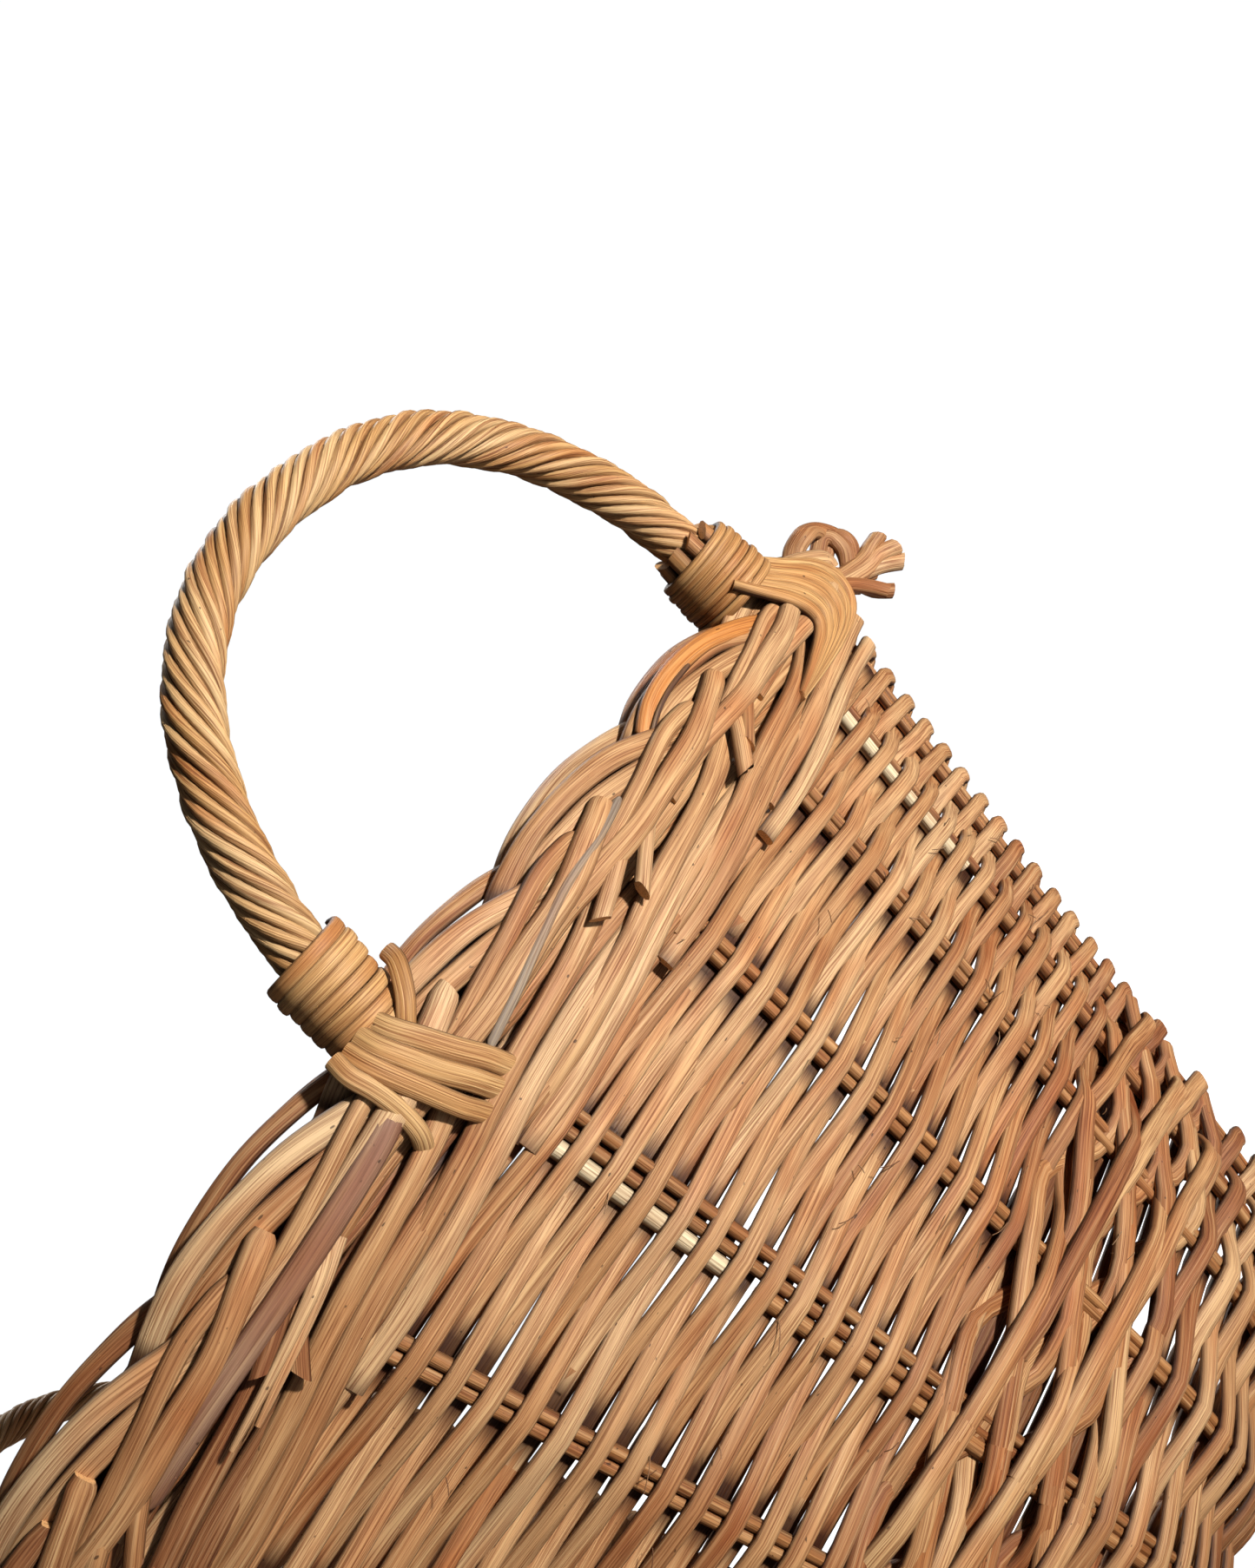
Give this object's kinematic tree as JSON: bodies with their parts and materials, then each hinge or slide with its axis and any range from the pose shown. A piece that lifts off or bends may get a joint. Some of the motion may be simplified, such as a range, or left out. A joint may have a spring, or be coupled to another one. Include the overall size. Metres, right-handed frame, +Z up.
{
  "type": "winnowing basket",
  "caption": "Open-fronted wicker winnowing scoop: cane ribs and flat weavers, a twined band, a plaited border and two twisted arch handles, for tossing grain.",
  "frame": {"origin": "middle of the part's outline on the ground plane it stands on", "axes": "+Z up, -Y towards the open front, X from side to side across the two handles"},
  "size_m": [0.6117, 0.4068, 0.4308],
  "materials": {
    "rib_cane": "satin, peeled round cane",
    "weaver_cane": "satin, split cane",
    "band_cane": "satin, split cane, darker",
    "border_cane": "satin, split cane",
    "handle_cane": "satin, polished by hands",
    "binding_cane": "satin, split cane"
  },
  "bodies": {
    "root": {"rib_01": "rib_cane", "rib_02": "rib_cane", "rib_03": "rib_cane", "rib_04": "rib_cane", "rib_05": "rib_cane", "rib_06": "rib_cane", "rib_07": "rib_cane", "rib_08": "rib_cane", "rib_09": "rib_cane", "rib_10": "rib_cane", "rib_11": "rib_cane", "rib_12": "rib_cane", "rib_13": "rib_cane", "rib_14": "rib_cane", "rib_15": "rib_cane", "rib_16": "rib_cane", "rib_17": "rib_cane", "side_weavers": "weaver_cane", "twined_band": "band_cane", "lower_weavers": "weaver_cane", "floor_weavers": "weaver_cane", "rib_knot": "binding_cane", "plaited_border": "border_cane", "corner_left": "border_cane", "corner_right": "border_cane", "handle_left": "handle_cane", "handle_right": "handle_cane", "winding_left_rear": "binding_cane", "winding_left_front": "binding_cane", "winding_right_rear": "binding_cane", "winding_right_front": "binding_cane", "lashing_left_rear": "binding_cane", "lashing_left_front": "binding_cane", "lashing_right_rear": "binding_cane", "lashing_right_front": "binding_cane"}
  },
  "joints": []
}
